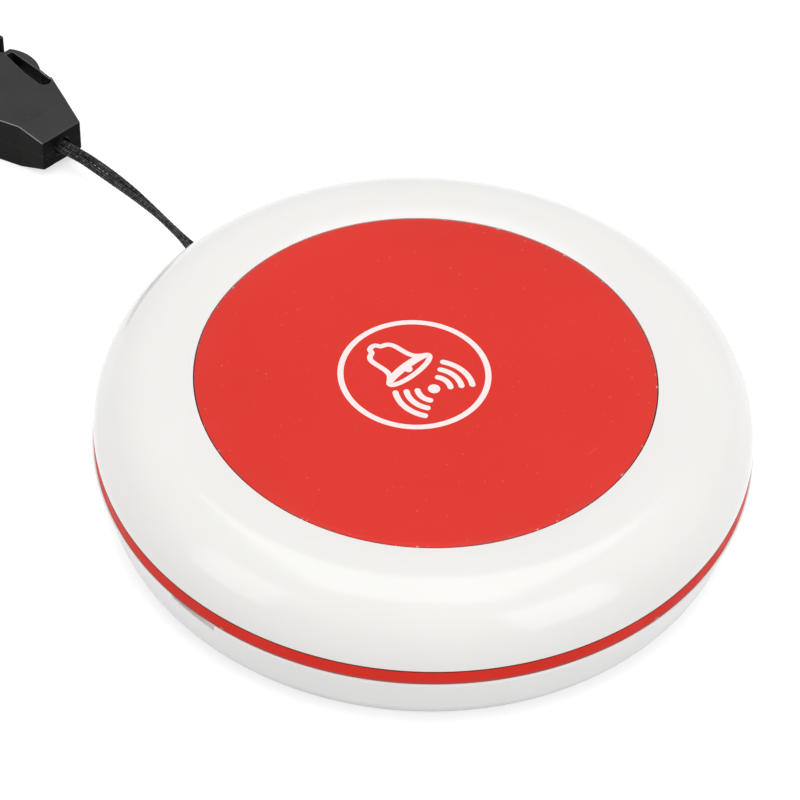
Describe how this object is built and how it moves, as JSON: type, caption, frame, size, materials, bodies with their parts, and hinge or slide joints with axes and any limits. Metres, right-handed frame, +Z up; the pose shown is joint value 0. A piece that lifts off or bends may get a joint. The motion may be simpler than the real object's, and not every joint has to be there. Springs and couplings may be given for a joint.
{
  "type": "wireless call button with lanyard",
  "caption": "Round wireless call button: push cap in a rounded two-part case with a coloured band, coin cell radio inside, cord loop and side-release buckle.",
  "frame": {"origin": "centre of the case's base, on the surface it stands on", "axes": "+Z up out of the button, +Y to the top of the symbol and to the lanyard, +X the reading direction"},
  "size_m": [0.0604, 0.1142, 0.014],
  "materials": {
    "upper_case": "glossy white moulding",
    "lower_case": "satin white moulding",
    "band": "satin red moulding",
    "film": "satin red printed film",
    "cap": "satin red moulding",
    "buckle": "fine textured black moulding",
    "cord": "black braid",
    "seal": "soft black rubber",
    "board": "green lacquered laminate",
    "black_plastic": "matte black moulding",
    "steel": "plated steel",
    "contact": "spring brass",
    "lamp": "clear resin",
    "chip": "ceramic"
  },
  "bodies": {
    "base": {"lower_shell": "lower_case", "case_snaps": "lower_case", "case_seal": "seal", "lanyard_cord": "cord", "cord_knot": "cord", "buckle_socket": "buckle"},
    "case_top": {"upper_shell": "upper_case", "trim_ring": "band", "pcb": "board", "pcb_screws": "steel", "switch_body": "black_plastic", "switch_cover": "steel", "switch_dome": "steel", "switch_terminals": "steel", "battery_holder": "black_plastic", "coin_cell": "steel", "battery_clip": "contact", "battery_pad": "contact", "encoder_chip": "black_plastic", "encoder_leads": "steel", "saw_resonator": "steel", "antenna_wire": "contact", "indicator_led": "lamp", "smd_passives": "chip"},
    "button": {"button_cap": "cap", "button_label": "film", "button_gasket": "seal"},
    "stem": {"switch_stem": "black_plastic"},
    "plug": {"buckle_plug": "buckle"},
    "prong_left": {"release_prong_left": "buckle"},
    "prong_right": {"release_prong_right": "buckle"}
  },
  "joints": [
    {"name": "case_open", "type": "slide", "parent": "base", "child": "case_top", "axis": [0, 0, 1], "range_m": [0, 0.015], "deforming": ["case_snaps"]},
    {"name": "button_press", "type": "slide", "parent": "case_top", "child": "button", "axis": [0, 0, -1], "range_m": [0, 0.0005], "stiffness_N_per_m": 4000},
    {"name": "stem_travel", "type": "slide", "parent": "case_top", "child": "stem", "axis": [0, 0, -1], "range_m": [0, 0.0005], "deforming": ["switch_dome"]},
    {"name": "buckle_release", "type": "slide", "parent": "base", "child": "plug", "axis": [-0.0436, 0.999, 0], "range_m": [0, 0.013], "deforming": ["release_prong_left", "release_prong_right"]},
    {"name": "prong_right_squeeze", "type": "hinge", "parent": "plug", "child": "prong_right", "pos_m": [0.00524, 0.07613, 0.0027], "axis": [0, 0, -1], "range_deg": [0, 10], "stiffness_Nm_per_rad": 0.2},
    {"name": "prong_left_squeeze", "type": "hinge", "parent": "plug", "child": "prong_left", "pos_m": [-0.00176, 0.07583, 0.0027], "axis": [0, 0, 1], "range_deg": [0, 10], "stiffness_Nm_per_rad": 0.2}
  ],
  "couplings": [
    {"joint": "stem_travel", "follows": "button_press", "ratio": 1}
  ]
}
